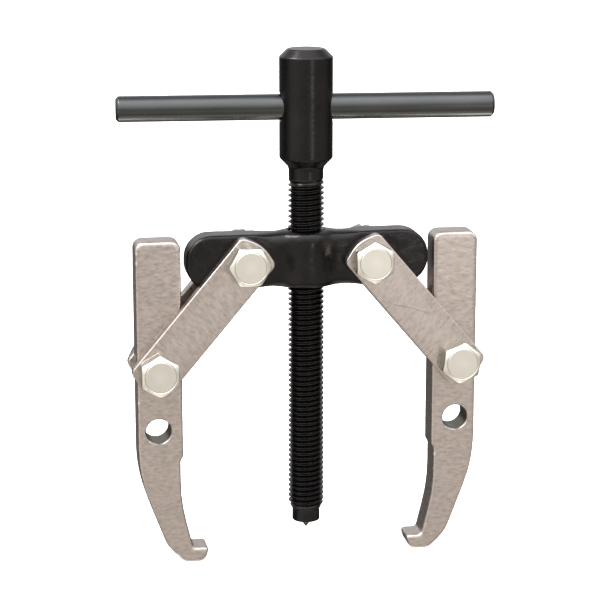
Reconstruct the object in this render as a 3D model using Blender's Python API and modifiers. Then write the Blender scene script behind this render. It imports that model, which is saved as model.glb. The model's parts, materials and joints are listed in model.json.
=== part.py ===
"""Two-jaw gear puller: a forged yoke, a forcing screw with a tee bar, and two jaws hung on pairs of straps.

Metres, +Z up. The origin is on the screw's axis, level with the seats of the two hooks, X runs along the
yoke and the bolt heads face -Y. Right-side pieces are at +X, and the left side mirrors them.
"""

import math

import bmesh
import bpy
from mathutils import Matrix, Vector

MM = 0.001

# Clearances between pieces
GAP = 0.2 * MM  # between flat faces that touch on the real tool
PIVOT_CLEARANCE = 0.25 * MM  # radial, round each bolt shank
BORE_CLEARANCE = 0.2 * MM  # radial, round the forcing screw in the yoke
PRESS_GAP = 0.15 * MM  # radial, round the pressed-in tee bar and the centre point's spigot

# Linkage
LINK_LENGTH = 46.1 * MM  # between a strap's two holes
LINK_ANGLE = math.radians(40.2)  # of a strap from the vertical
PIVOT_X = 20.7 * MM  # the upper bolt's distance from the screw's axis
SEAT_DROP = 62.3 * MM  # from the lower bolt down to the hook's seat
LOWER_X = PIVOT_X + LINK_LENGTH * math.sin(LINK_ANGLE)
LOWER_Z = SEAT_DROP
YOKE_Z = LOWER_Z + LINK_LENGTH * math.cos(LINK_ANGLE)

# Yoke: a flat bar with a round boss for the screw
YOKE_LENGTH = 81.0 * MM
YOKE_HEIGHT = 18.2 * MM
YOKE_THICKNESS = 10.0 * MM
YOKE_END_RADIUS = 8.4 * MM
YOKE_EDGE = 1.2 * MM
BOSS_RADIUS = 9.0 * MM
BOSS_HEIGHT = 19.8 * MM

# Forcing screw, M12 x 1.75, measured along its axis from the yoke's middle
THREAD_RADIUS = 6.0 * MM
THREAD_TOP = 25.8 * MM
THREAD_BOTTOM = -84.6 * MM
SCREW_END = -86.9 * MM
SCREW_END_RADIUS = 4.75 * MM
NECK_RADIUS = 5.75 * MM
NECK_FLARE = 0.4 * MM  # how much wider the neck is where it meets the head
NECK_EASE = 1.0 * MM  # the length of that flare, and of the thread's lead-in
HEAD_RADIUS = 8.8 * MM
HEAD_TOP = 69.2 * MM
HEAD_BOTTOM = 30.6 * MM
HEAD_CHAMFER = 2.7 * MM
SOCKET_RADIUS = 3.15 * MM
SOCKET_DEPTH = 8.0 * MM
SOCKET_CONE = 1.3 * MM  # what the drill's point leaves past the socket
REST_TURN = math.radians(-4.0)  # how far the screw and its bar stand turned from the yoke

# Tee bar
BAR_RADIUS = 4.25 * MM
BAR_LENGTH = 124.0 * MM
BAR_CHAMFER = 0.9 * MM
BAR_Z = 50.2 * MM  # above the yoke's middle
BAR_HOLE_FLARE = 0.8 * MM  # the countersink's depth at each mouth

# Centre point in the end of the screw
POINT_RADIUS = 4.65 * MM
POINT_BODY = 4.0 * MM
POINT_CHAMFER = 0.5 * MM
POINT_CONE_RADIUS = 2.1 * MM
POINT_CONE = 2.7 * MM
SPIGOT_SHORTFALL = 1.0 * MM  # what the spigot leaves free at the bottom of its socket

# Straps
STRAP_WIDTH = 15.0 * MM
STRAP_THICKNESS = 4.0 * MM
STRAP_SHOULDER = 5.6 * MM  # from a hole's centre to the corners of the strap's end
STRAP_SHOULDER_RADIUS = 2.5 * MM
STRAP_TIP = 8.1 * MM  # and to the end's middle, before it is rounded
STRAP_TIP_RADIUS = 12.0 * MM
STRAP_EDGE = 0.4 * MM

# Jaws, measured from the lower bolt
JAW_THICKNESS = 10.0 * MM
JAW_EDGE = 0.8 * MM
JAW_TOP = 43.1 * MM
JAW_TOP_RADIUS = 3.0 * MM
JAW_OUTER = 6.9 * MM
JAW_INNER = 8.2 * MM
JAW_WAIST = 7.3 * MM  # the inner side below its small step
JAW_STEP_TOP = -30.4 * MM
JAW_STEP_BOTTOM = -31.6 * MM
JAW_STEP_RADIUS = 1.2 * MM
JAW_BELLY = -46.0 * MM  # where the inner side starts to curve towards the hook
JAW_BELLY_RADIUS = 60 * MM
JAW_BACK = -36.5 * MM  # where the outer side starts to curve in
JAW_BACK_RADIUS = 50 * MM
JAW_HEEL = (2.7 * MM, -62.0 * MM)  # the corner between the curved back and the hook
JAW_HEEL_RADIUS = 14 * MM
HOOK_ROOT = 11.2 * MM
HOOK_ROOT_RADIUS = 1.3 * MM
HOOK_TIP = 16.8 * MM
HOOK_BOTTOM = 67.3 * MM
HOOK_BOTTOM_BACK = 8.6 * MM  # the two ends of the hook's underside
HOOK_BOTTOM_BACK_RADIUS = 3.5 * MM
HOOK_BOTTOM_FRONT = 15.0 * MM
HOOK_BOTTOM_FRONT_RADIUS = 2.8 * MM
HOOK_TIP_RADIUS = JAW_EDGE + 0.15 * MM  # a convex corner has to be rounder than the edge rounding
SPARE_HOLE_DROP = 21.0 * MM

# Fasteners: M8 bolts with small heads, lock washers and 13 mm nuts
SHANK_RADIUS = 3.95 * MM
BOLT_HEAD_ACROSS = 12.4 * MM
BOLT_HEAD_HEIGHT = 5.3 * MM
BOLT_LENGTH = 30.0 * MM  # under the head
BOLT_END_CHAMFER = 0.8 * MM
NUT_ACROSS = 13.0 * MM
NUT_HEIGHT = 6.5 * MM
NUT_BORE_RADIUS = 4.15 * MM
WASHER_RADIUS = 7.1 * MM
WASHER_BORE_RADIUS = 4.2 * MM
WASHER_THICKNESS = 2.0 * MM
WASHER_SPLIT = 1.2 * MM
WASHER_SPLIT_LEAN = math.radians(20)
HEXAGON_FACE = 0.89  # of the distance across flats: a hexagon's round end face, inside its chamfer

STRAP_INNER_Y = YOKE_THICKNESS / 2 + GAP
STRAP_MIDDLE_Y = STRAP_INNER_Y + STRAP_THICKNESS / 2
STRAP_OUTER_Y = STRAP_INNER_Y + STRAP_THICKNESS

SIDES = {"left": -1, "right": 1}
# How far each bolt head is turned about its own axis, as they were left when tightened
HEAD_TURNS = {
    "upper_left": math.radians(0),
    "lower_left": math.radians(30),
    "upper_right": math.radians(31),
    "lower_right": math.radians(22),
}
NUT_TURNS = {
    "upper_left": math.radians(11),
    "lower_left": math.radians(0),
    "upper_right": math.radians(25),
    "lower_right": math.radians(4),
}
WASHER_TURN = math.radians(60)

ROUND_STEPS = 32
SMALL_STEPS = 20
ARC_STEP = math.radians(18)
SMOOTH_ANGLE = math.radians(35)  # flatter edges than this are shaded smooth

FACE_FRONT = Matrix.Rotation(math.pi / 2, 4, "X")  # local XY to world XZ, local +Z to world -Y


def clear_scene():
    for obj in list(bpy.data.objects):
        bpy.data.objects.remove(obj, do_unlink=True)


def new_collection(name):
    collection = bpy.data.collections.new(name)
    bpy.context.scene.collection.children.link(collection)
    return collection


def steel(name, colour, roughness, metallic):
    material = bpy.data.materials.new(name)
    material.use_nodes = True
    shader = material.node_tree.nodes["Principled BSDF"]
    shader.inputs["Base Color"].default_value = (*colour, 1.0)
    shader.inputs["Roughness"].default_value = roughness
    shader.inputs["Metallic"].default_value = metallic
    material.diffuse_color = (*colour, 1.0)
    return material


def new_object(name, data, collection, matrix=Matrix()):
    obj = bpy.data.objects.new(name, data)
    obj.matrix_world = matrix
    collection.objects.link(obj)
    return obj


def settle(obj):
    """The object's shape with its modifiers in, as a welded mesh. The object goes."""
    bpy.context.view_layer.update()
    graph = bpy.context.evaluated_depsgraph_get()
    mesh = bpy.data.meshes.new_from_object(obj.evaluated_get(graph))
    shape = bmesh.new()
    shape.from_mesh(mesh)
    bmesh.ops.remove_doubles(shape, verts=shape.verts, dist=0.002 * MM)
    shape.to_mesh(mesh)
    shape.free()
    mesh.name = obj.name
    bpy.data.objects.remove(obj, do_unlink=True)
    return mesh


def turned(name, profile, cutters, steps=ROUND_STEPS, bore=None):
    """A shape turned about Z from (radius, z) points that run down its outer side.

    Without a bore the profile starts and ends on the axis. With one it is closed along the bore's wall.
    """
    points = [(radius, 0, z) for radius, z in profile]
    edges = [(i, i + 1) for i in range(len(points) - 1)]
    if bore is not None:
        points += [(bore, 0, profile[-1][1]), (bore, 0, profile[0][1])]
        edges = [(i, (i + 1) % len(points)) for i in range(len(points))]
    mesh = bpy.data.meshes.new(name)
    mesh.from_pydata(points, edges, [])
    obj = new_object(name, mesh, cutters)
    screw = obj.modifiers.new("turn", "SCREW")
    screw.steps = screw.render_steps = steps
    screw.use_merge_vertices = True
    screw.merge_threshold = 0.01 * MM
    return settle(obj)


def rounded_outline(corners):
    """A closed outline through (x, y, fillet radius) corners, as points with each fillet an arc."""
    points = []
    for i, (x, y, radius) in enumerate(corners):
        corner = Vector((x, y))
        before = (Vector(corners[i - 1][:2]) - corner).normalized()
        after = (Vector(corners[(i + 1) % len(corners)][:2]) - corner).normalized()
        opening = before.angle(after)
        centre = corner + (before + after).normalized() * radius / math.sin(opening / 2)
        start = corner + before * radius / math.tan(opening / 2) - centre
        turn = (math.pi - opening) * (1 if before.cross(after) < 0 else -1)
        steps = max(1, math.ceil(abs(turn) / ARC_STEP))
        for k in range(steps + 1):
            points.append(centre + Matrix.Rotation(turn * k / steps, 2) @ start)
    return points


def circle_outline(x, y, radius, steps=SMALL_STEPS):
    """A hole in a plate. It runs clockwise, against the plate's outline."""
    angles = [-2 * math.pi * k / steps for k in range(steps)]
    return [Vector((x + radius * math.cos(a), y + radius * math.sin(a))) for a in angles]


def plate(name, outlines, thickness, edge, cutters):
    """A flat plate in XY from one anticlockwise outline and its holes, its edges rounded by edge."""
    curve = bpy.data.curves.new(name, "CURVE")
    curve.dimensions = "2D"
    curve.fill_mode = "BOTH"
    curve.extrude = thickness / 2 - edge
    curve.bevel_depth = edge
    curve.bevel_resolution = 0
    curve.offset = -edge
    for outline in outlines:
        spline = curve.splines.new("POLY")
        spline.points.add(len(outline) - 1)
        for point, place in zip(spline.points, outline):
            point.co = (*place, 0, 1)
        spline.use_cyclic_u = True
    return settle(new_object(name, curve, cutters))


def boolean(obj, operation, other):
    modifier = obj.modifiers.new(operation.lower(), "BOOLEAN")
    modifier.operation = operation
    modifier.solver = "EXACT"
    modifier.object = other


def cutter(name, mesh, cutters, matrix=Matrix()):
    obj = new_object(name, mesh, cutters, matrix)
    obj.hide_render = True
    obj.display_type = "WIRE"
    return obj


def cylinder(name, radius, length, collection, matrix=Matrix(), steps=SMALL_STEPS):
    """A helper cylinder, centred, along its local Z."""
    mesh = bpy.data.meshes.new(name)
    shape = bmesh.new()
    bmesh.ops.create_cone(
        shape, cap_ends=True, segments=steps, radius1=radius, radius2=radius, depth=length
    )
    shape.to_mesh(mesh)
    shape.free()
    return cutter(name, mesh, collection, matrix)


def finish_piece(name, mesh, material, parts, parent, matrix):
    """A named piece of the tool at a world matrix, smooth over its round faces, under its pivot."""
    mesh.shade_smooth()
    mesh.set_sharp_from_angle(angle=SMOOTH_ANGLE)
    mesh.materials.clear()
    mesh.materials.append(material)
    obj = new_object(name, mesh, parts)
    obj.parent = parent
    bpy.context.view_layer.update()
    obj.matrix_world = matrix
    return obj


def yoke_mesh(cutters):
    half_length, half_height = YOKE_LENGTH / 2, YOKE_HEIGHT / 2
    corners = [
        (half_length, -half_height, YOKE_END_RADIUS),
        (half_length, half_height, YOKE_END_RADIUS),
        (-half_length, half_height, YOKE_END_RADIUS),
        (-half_length, -half_height, YOKE_END_RADIUS),
    ]
    bar = plate("yoke", [rounded_outline(corners)], YOKE_THICKNESS, YOKE_EDGE, cutters)
    bar.transform(FACE_FRONT)
    half_boss = BOSS_HEIGHT / 2
    boss_profile = [
        (0, half_boss),
        (BOSS_RADIUS - YOKE_EDGE, half_boss),
        (BOSS_RADIUS, half_boss - YOKE_EDGE),
        (BOSS_RADIUS, YOKE_EDGE - half_boss),
        (BOSS_RADIUS - YOKE_EDGE, -half_boss),
        (0, -half_boss),
    ]
    boss = cutter("boss_form", turned("boss_form", boss_profile, cutters), cutters)
    bore_radius = THREAD_RADIUS + BORE_CLEARANCE
    bore = cylinder("screw_bore", bore_radius, 2 * BOSS_HEIGHT, cutters, steps=ROUND_STEPS)
    yoke = new_object("yoke", bar, cutters)
    boolean(yoke, "UNION", boss)
    boolean(yoke, "DIFFERENCE", bore)
    for side in SIDES.values():
        place = Matrix.Translation((side * PIVOT_X, 0, 0)) @ FACE_FRONT
        radius = SHANK_RADIUS + PIVOT_CLEARANCE
        boolean(yoke, "DIFFERENCE", cylinder("yoke_hole", radius, 2 * YOKE_THICKNESS, cutters, place))
    return settle(yoke)


def screw_mesh(cutters):
    """The forcing screw along Z. Its thread is the plain cylinder that the crests run on."""
    profile = [
        (0, HEAD_TOP),
        (HEAD_RADIUS - HEAD_CHAMFER, HEAD_TOP),
        (HEAD_RADIUS, HEAD_TOP - HEAD_CHAMFER),
        (HEAD_RADIUS, HEAD_BOTTOM + HEAD_CHAMFER),
        (NECK_RADIUS + NECK_FLARE, HEAD_BOTTOM),
        (NECK_RADIUS, HEAD_BOTTOM - NECK_EASE),
        (NECK_RADIUS, THREAD_TOP + NECK_EASE),
        (THREAD_RADIUS, THREAD_TOP),
        (THREAD_RADIUS, THREAD_BOTTOM),
        (SCREW_END_RADIUS, SCREW_END),
        (SOCKET_RADIUS, SCREW_END),
        (SOCKET_RADIUS, SCREW_END + SOCKET_DEPTH),
        (0, SCREW_END + SOCKET_DEPTH + SOCKET_CONE),
    ]
    screw = new_object("forcing_screw", turned("forcing_screw", profile, cutters), cutters)
    across = Matrix.Translation((0, 0, BAR_Z)) @ Matrix.Rotation(math.pi / 2, 4, "Y")
    radius = BAR_RADIUS + PRESS_GAP
    straight = HEAD_RADIUS - BAR_HOLE_FLARE
    outside = 2 * HEAD_RADIUS
    mouth = radius + outside - straight
    hole_profile = [
        (0, outside),
        (mouth, outside),
        (radius, straight),
        (radius, -straight),
        (mouth, -outside),
        (0, -outside),
    ]
    hole = turned("bar_hole", hole_profile, cutters, SMALL_STEPS)
    boolean(screw, "DIFFERENCE", cutter("bar_hole", hole, cutters, across))
    return settle(screw)


def bar_mesh(cutters):
    half = BAR_LENGTH / 2
    profile = [
        (0, half),
        (BAR_RADIUS - BAR_CHAMFER, half),
        (BAR_RADIUS, half - BAR_CHAMFER),
        (BAR_RADIUS, BAR_CHAMFER - half),
        (BAR_RADIUS - BAR_CHAMFER, -half),
        (0, -half),
    ]
    return turned("tommy_bar", profile, cutters, SMALL_STEPS)


def point_mesh(cutters):
    """The centre point, along Z from the shoulder that bears on the end of the screw."""
    spigot = SOCKET_DEPTH - SPIGOT_SHORTFALL
    profile = [
        (0, spigot),
        (SOCKET_RADIUS - PRESS_GAP, spigot),
        (SOCKET_RADIUS - PRESS_GAP, 0),
        (POINT_RADIUS, 0),
        (POINT_RADIUS, POINT_CHAMFER - POINT_BODY),
        (POINT_RADIUS - POINT_CHAMFER, -POINT_BODY),
        (POINT_CONE_RADIUS, -POINT_BODY),
        (0, -POINT_BODY - POINT_CONE),
    ]
    return turned("centre_point", profile, cutters, SMALL_STEPS)


def strap_mesh(cutters):
    """A strap along local X: its upper hole at the origin, its lower hole at LINK_LENGTH."""
    half_width = STRAP_WIDTH / 2
    half = [
        (LINK_LENGTH + STRAP_SHOULDER, -half_width, STRAP_SHOULDER_RADIUS),
        (LINK_LENGTH + STRAP_TIP, 0, STRAP_TIP_RADIUS),
        (LINK_LENGTH + STRAP_SHOULDER, half_width, STRAP_SHOULDER_RADIUS),
    ]
    corners = half + [(LINK_LENGTH - x, -y, radius) for x, y, radius in half]
    radius = SHANK_RADIUS + PIVOT_CLEARANCE
    holes = [circle_outline(x, 0, radius) for x in (0, LINK_LENGTH)]
    return plate("strap", [rounded_outline(corners), *holes], STRAP_THICKNESS, STRAP_EDGE, cutters)


def jaw_mesh(side, cutters):
    """A jaw in XY about its lower bolt, its hook towards the screw."""
    corners = [
        (-JAW_OUTER, JAW_TOP, JAW_TOP_RADIUS),
        (-JAW_OUTER, JAW_BACK, JAW_BACK_RADIUS),
        (*JAW_HEEL, JAW_HEEL_RADIUS),
        (HOOK_BOTTOM_BACK, -HOOK_BOTTOM, HOOK_BOTTOM_BACK_RADIUS),
        (HOOK_BOTTOM_FRONT, -HOOK_BOTTOM, HOOK_BOTTOM_FRONT_RADIUS),
        (HOOK_TIP, -SEAT_DROP, HOOK_TIP_RADIUS),
        (HOOK_ROOT, -SEAT_DROP, HOOK_ROOT_RADIUS),
        (JAW_WAIST, JAW_BELLY, JAW_BELLY_RADIUS),
        (JAW_WAIST, JAW_STEP_BOTTOM, JAW_STEP_RADIUS),
        (JAW_INNER, JAW_STEP_TOP, JAW_STEP_RADIUS),
        (JAW_INNER, JAW_TOP, JAW_TOP_RADIUS),
    ]
    toward_screw = -side
    placed = [(x * toward_screw, y, radius) for x, y, radius in corners]
    if toward_screw < 0:
        placed.reverse()
    radius = SHANK_RADIUS + PIVOT_CLEARANCE
    holes = [circle_outline(0, y, radius) for y in (0, -SPARE_HOLE_DROP)]
    return plate("jaw", [rounded_outline(placed), *holes], JAW_THICKNESS, JAW_EDGE, cutters)


def hexagon_mesh(name, across, bottom, top, chamfered, cutters):
    """A hexagonal prism from bottom to top, its corners turned off at 30 degrees at the chamfered ends."""
    corner = across / math.sqrt(3)
    slope = math.tan(math.radians(30))
    face = across / 2 * HEXAGON_FACE
    outside = corner + MM
    drop = (outside - face) * slope
    upper = [(0, top), (face, top), (outside, top - drop)]
    lower = [(outside, bottom + drop), (face, bottom), (0, bottom)]
    if "bottom" not in chamfered:
        lower = [(outside, bottom - MM), (0, bottom - MM)]
    mesh = bpy.data.meshes.new(name)
    shape = bmesh.new()
    bmesh.ops.create_cone(
        shape, cap_ends=True, segments=6, radius1=corner, radius2=corner, depth=top - bottom
    )
    bmesh.ops.rotate(shape, verts=shape.verts, matrix=Matrix.Rotation(math.pi / 6, 3, "Z"))
    bmesh.ops.translate(shape, verts=shape.verts, vec=(0, 0, (top + bottom) / 2))
    shape.to_mesh(mesh)
    shape.free()
    prism = new_object(name, mesh, cutters)
    form = turned(name + "_form", upper + lower, cutters, ROUND_STEPS)
    boolean(prism, "INTERSECT", cutter(name + "_form", form, cutters))
    return settle(prism)


def bolt_mesh(cutters):
    """A bolt along Z: the underside of its head at the origin, its shank towards -Z."""
    head = hexagon_mesh("bolt", BOLT_HEAD_ACROSS, 0, BOLT_HEAD_HEIGHT, ("top",), cutters)
    shank_profile = [
        (0, BOLT_HEAD_HEIGHT / 2),
        (SHANK_RADIUS, BOLT_HEAD_HEIGHT / 2),
        (SHANK_RADIUS, BOLT_END_CHAMFER - BOLT_LENGTH),
        (SHANK_RADIUS - BOLT_END_CHAMFER, -BOLT_LENGTH),
        (0, -BOLT_LENGTH),
    ]
    bolt = new_object("bolt", head, cutters)
    shank = turned("shank", shank_profile, cutters, SMALL_STEPS)
    boolean(bolt, "UNION", cutter("shank", shank, cutters))
    return settle(bolt)


def nut_mesh(cutters):
    """A nut along Z from 0 down to -NUT_HEIGHT."""
    solid = hexagon_mesh("nut", NUT_ACROSS, -NUT_HEIGHT, 0, ("top", "bottom"), cutters)
    nut = new_object("nut", solid, cutters)
    boolean(nut, "DIFFERENCE", cylinder("nut_bore", NUT_BORE_RADIUS, 4 * NUT_HEIGHT, cutters))
    return settle(nut)


def washer_mesh(cutters):
    """A split lock washer along Z from 0 down to -WASHER_THICKNESS."""
    profile = [(WASHER_RADIUS, 0), (WASHER_RADIUS, -WASHER_THICKNESS)]
    washer = new_object("washer", turned("washer", profile, cutters, bore=WASHER_BORE_RADIUS), cutters)
    mesh = bpy.data.meshes.new("washer_split")
    shape = bmesh.new()
    bmesh.ops.create_cube(shape, size=1)
    bmesh.ops.scale(shape, verts=shape.verts, vec=(2 * WASHER_RADIUS, WASHER_SPLIT, 4 * WASHER_THICKNESS))
    shape.to_mesh(mesh)
    shape.free()
    place = Matrix.Rotation(WASHER_SPLIT_LEAN, 4, "X") @ Matrix.Translation((1.5 * WASHER_RADIUS, 0, 0))
    boolean(washer, "DIFFERENCE", cutter("washer_split", mesh, cutters, place))
    return settle(washer)


def pivot(name, parts, place, parent=None, turn=0.0):
    """An empty on a joint's axis."""
    empty = new_object(name, None, parts)
    empty.empty_display_size = 0.01
    empty.parent = parent
    bpy.context.view_layer.update()
    empty.matrix_world = Matrix.Translation(place) @ Matrix.Rotation(turn, 4, "Z")
    return empty


def build_screw(parts, cutters, black, dark):
    centre = Vector((0, 0, YOKE_Z))
    slide = pivot("screw_feed_axis", parts, centre)
    spindle = pivot("screw_turn_axis", parts, centre, slide, REST_TURN)
    turned_with_bar = spindle.matrix_world.copy()
    finish_piece("forcing_screw", screw_mesh(cutters), black, parts, spindle, turned_with_bar)
    along_x = Matrix.Translation((0, 0, BAR_Z)) @ Matrix.Rotation(math.pi / 2, 4, "Y")
    finish_piece("tommy_bar", bar_mesh(cutters), dark, parts, spindle, turned_with_bar @ along_x)
    shoulder = Matrix.Translation(centre + Vector((0, 0, SCREW_END - GAP)))
    finish_piece("centre_point", point_mesh(cutters), black, parts, slide, shoulder)


def build_linkage(parts, cutters, satin, zinc):
    strap, bolt = strap_mesh(cutters), bolt_mesh(cutters)
    nut, washer = nut_mesh(cutters), washer_mesh(cutters)
    head_y = -(STRAP_OUTER_Y + GAP)
    washer_y = STRAP_OUTER_Y + GAP
    nut_y = washer_y + WASHER_THICKNESS + GAP
    for label, side in SIDES.items():
        upper = Vector((side * PIVOT_X, 0, YOKE_Z))
        lower = Vector((side * LOWER_X, 0, LOWER_Z))
        link = pivot(f"link_{label}_axis", parts, upper)
        hang = pivot(f"jaw_{label}_axis", parts, lower, link)
        down_the_strap = Matrix.Rotation(-math.pi / 2 + side * LINK_ANGLE, 4, "Z")
        for layer, y in (("front", -STRAP_MIDDLE_Y), ("rear", STRAP_MIDDLE_Y)):
            place = Matrix.Translation(upper + Vector((0, y, 0))) @ FACE_FRONT @ down_the_strap
            finish_piece(f"strap_{label}_{layer}", strap, satin, parts, link, place)
        for level, centre in (("upper", upper), ("lower", lower)):
            name = f"{level}_{label}"
            spin = Matrix.Rotation(HEAD_TURNS[name], 4, "Z")
            stack = (
                ("bolt", bolt, head_y, spin),
                ("lock_washer", washer, washer_y, Matrix.Rotation(WASHER_TURN, 4, "Z")),
                ("nut", nut, nut_y, Matrix.Rotation(NUT_TURNS[name], 4, "Z")),
            )
            for piece, mesh, y, turn in stack:
                place = Matrix.Translation(centre + Vector((0, y, 0))) @ FACE_FRONT @ turn
                finish_piece(f"{piece}_{name}", mesh, zinc, parts, link, place)
        jaw_place = Matrix.Translation(lower) @ FACE_FRONT
        finish_piece(f"jaw_{label}", jaw_mesh(side, cutters), satin, parts, hang, jaw_place)


def build():
    clear_scene()
    parts = new_collection("gear_puller")
    cutters = new_collection("cutters")
    black = steel("black_oxide", (0.030, 0.029, 0.027), 0.45, 0.6)
    dark = steel("dark_bar", (0.075, 0.078, 0.074), 0.35, 0.8)
    satin = steel("satin_nickel", (0.50, 0.45, 0.41), 0.40, 0.9)
    zinc = steel("bright_zinc", (0.83, 0.80, 0.70), 0.30, 0.9)
    yoke_place = Matrix.Translation((0, 0, YOKE_Z))
    yoke_axis = pivot("yoke_axis", parts, yoke_place.translation)
    finish_piece("yoke", yoke_mesh(cutters), black, parts, yoke_axis, yoke_place)
    build_screw(parts, cutters, black, dark)
    build_linkage(parts, cutters, satin, zinc)


build()
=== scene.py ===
"""The looks of the two-jaw gear puller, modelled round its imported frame.

Metres and +Z up, in the frame's coordinates. A finely modelled piece stands for each CAD node: the forged
yoke and jaws, the threaded screw with its bar, the pressed straps, and the plated fasteners.
"""

import json
import math

import bmesh
import bpy
from mathutils import Matrix, Vector, noise


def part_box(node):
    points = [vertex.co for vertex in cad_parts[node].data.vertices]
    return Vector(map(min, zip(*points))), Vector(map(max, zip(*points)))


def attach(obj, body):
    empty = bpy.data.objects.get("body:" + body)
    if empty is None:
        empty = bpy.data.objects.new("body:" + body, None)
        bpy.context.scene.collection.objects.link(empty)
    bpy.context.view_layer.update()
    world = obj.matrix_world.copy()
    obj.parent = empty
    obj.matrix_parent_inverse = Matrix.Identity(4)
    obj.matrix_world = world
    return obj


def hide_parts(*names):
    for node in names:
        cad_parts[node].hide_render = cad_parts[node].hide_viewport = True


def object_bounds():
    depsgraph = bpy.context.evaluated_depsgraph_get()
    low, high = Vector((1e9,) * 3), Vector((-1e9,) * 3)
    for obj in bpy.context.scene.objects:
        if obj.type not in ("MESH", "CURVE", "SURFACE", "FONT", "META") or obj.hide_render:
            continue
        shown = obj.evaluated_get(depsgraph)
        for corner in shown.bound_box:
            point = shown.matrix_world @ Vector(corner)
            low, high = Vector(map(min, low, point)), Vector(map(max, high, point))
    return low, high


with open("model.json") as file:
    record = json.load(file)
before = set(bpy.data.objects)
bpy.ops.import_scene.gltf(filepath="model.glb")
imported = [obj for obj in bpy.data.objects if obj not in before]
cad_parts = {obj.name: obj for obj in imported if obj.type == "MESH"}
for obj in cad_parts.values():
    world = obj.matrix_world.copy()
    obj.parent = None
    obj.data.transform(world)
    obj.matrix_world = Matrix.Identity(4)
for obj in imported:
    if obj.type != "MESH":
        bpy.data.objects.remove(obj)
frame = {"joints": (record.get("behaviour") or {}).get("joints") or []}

cad_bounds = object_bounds()

MM = 0.001
WELD = 0.001 * MM
SIDES = {"left": -1, "right": 1}
LEVELS = ("upper", "lower")

# Places, from the frame
JOINTS = {joint["name"]: joint for joint in frame["joints"]}
UPPER = {side: Vector(JOINTS[f"link_{side}_swing"]["pos_m"]) for side in SIDES}
LOWER = {side: Vector(JOINTS[f"jaw_{side}_swing"]["pos_m"]) for side in SIDES}
CENTRE = Vector((0, 0, UPPER["left"].z))
LINK_LENGTH = (LOWER["left"] - UPPER["left"]).length
LINK_ANGLE = math.acos((UPPER["left"].z - LOWER["left"].z) / LINK_LENGTH)

# Yoke
YOKE_LENGTH = 81.0 * MM
YOKE_HEIGHT = 18.2 * MM
YOKE_THICKNESS = 10.0 * MM
YOKE_END_RADIUS = 8.4 * MM
YOKE_EDGE = 1.2 * MM
BOSS_RADIUS = 9.0 * MM
BOSS_HEIGHT = 19.8 * MM
BOSS_EDGE = 1.4 * MM
BOSS_BLEND = 18.0 * MM  # how far from the screw's axis the boss runs out into the bar
BOSS_FADE = 5.0 * MM  # over which its extra softening fades out
BOSS_SOFTENING = 320  # rounds
YOKE_UNEVENNESS = 0.07 * MM
YOKE_GRAIN = (4.0 * MM, 4.0 * MM, 3.0 * MM)
BORE_CHAMFER = 0.6 * MM
BORE_RADIUS = 6.2 * MM
HOLE_RADIUS = 4.2 * MM
YOKE_HOLE_CHAMFER = 0.3 * MM

# Forcing screw, M12 x 1.75, along its axis from the yoke's middle
THREAD_RADIUS = 6.0 * MM
THREAD_PITCH = 1.75 * MM
THREAD_TOP = 27.0 * MM
THREAD_BOTTOM = -86.9 * MM
SCREW_END_RADIUS = 4.75 * MM
SCREW_END_TAPER = 2.3 * MM
NECK_RADIUS = 5.75 * MM
HEAD_RADIUS = 8.8 * MM
HEAD_TOP = 69.2 * MM
HEAD_BOTTOM = 30.6 * MM
HEAD_CHAMFER = (2.7 * MM, 2.6 * MM)  # inwards and down, at its top
HEAD_FOOT = 2.9 * MM  # the height of the slope down to the neck
NECK_FLARE = 0.3 * MM
NECK_STRAIGHT = 2.4 * MM  # from the thread's top up to where the neck flares
HEAD_FACE_ROUNDING = 0.8 * MM
HEAD_SIDE_ROUNDING = 1.0 * MM
HEAD_FOOT_ROUNDING = 1.2 * MM
NECK_ROUNDING = 1.0 * MM
SOCKET_RADIUS = 3.15 * MM
SOCKET_DEPTH = 8.0 * MM
SOCKET_CONE = 1.3 * MM
REST_TURN = math.radians(-4.0)

# Tee bar
BAR_RADIUS = 4.25 * MM
BAR_LENGTH = 124.0 * MM
BAR_Z = 50.2 * MM
BAR_HOLE_RADIUS = 4.4 * MM
BAR_HOLE_FLARE = 0.8 * MM
BAR_CHAMFER = 0.9 * MM
BAR_ROUNDINGS = (0.3 * MM, 0.5 * MM)  # of that chamfer, at the end face and at the side

# Centre point, down from the yoke's middle
POINT_TOP = -87.1 * MM
POINT_RADIUS = 4.65 * MM
POINT_BODY = 4.0 * MM
POINT_CONE_RADIUS = 2.1 * MM
POINT_CONE = 2.7 * MM
SPIGOT_RADIUS = 3.0 * MM
SPIGOT_LENGTH = 7.0 * MM
SPIGOT_END_ROUNDING = 0.4 * MM
SPIGOT_ROOT_ROUNDING = 0.2 * MM
POINT_TOP_ROUNDING = 0.3 * MM
POINT_BOTTOM_ROUNDING = 0.5 * MM
POINT_CONE_ROUNDING = 0.3 * MM  # in the corner where the cone starts
POINT_TIP = (0.25 * MM, 0.1 * MM)  # the blunted tip's radius and height
POINT_TIP_ROUNDING = 0.1 * MM

# Straps and jaws
STRAP_WIDTH = 15.0 * MM
STRAP_SHOULDER = 5.6 * MM  # from a hole's centre to the corners of the strap's end
STRAP_SHOULDER_RADIUS = 2.5 * MM
STRAP_TIP = 8.1 * MM  # and to the end's middle, before it is rounded
STRAP_TIP_RADIUS = 12.0 * MM
STRAP_EDGE = 0.55 * MM
STRAP_HOLE_CHAMFER = 0.2 * MM
JAW_EDGE = 1.0 * MM
JAW_TOP = 43.1 * MM
JAW_TOP_RADIUS = 3.0 * MM
JAW_OUTER = 6.9 * MM
JAW_INNER = 8.2 * MM
JAW_WAIST = 7.3 * MM  # the inner side below its small step
JAW_STEP_TOP = -30.4 * MM
JAW_STEP_BOTTOM = -31.6 * MM
JAW_STEP_RADIUS = 1.2 * MM
JAW_BELLY = -46.0 * MM  # where the inner side starts to curve towards the hook
JAW_BELLY_RADIUS = 60 * MM
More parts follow.
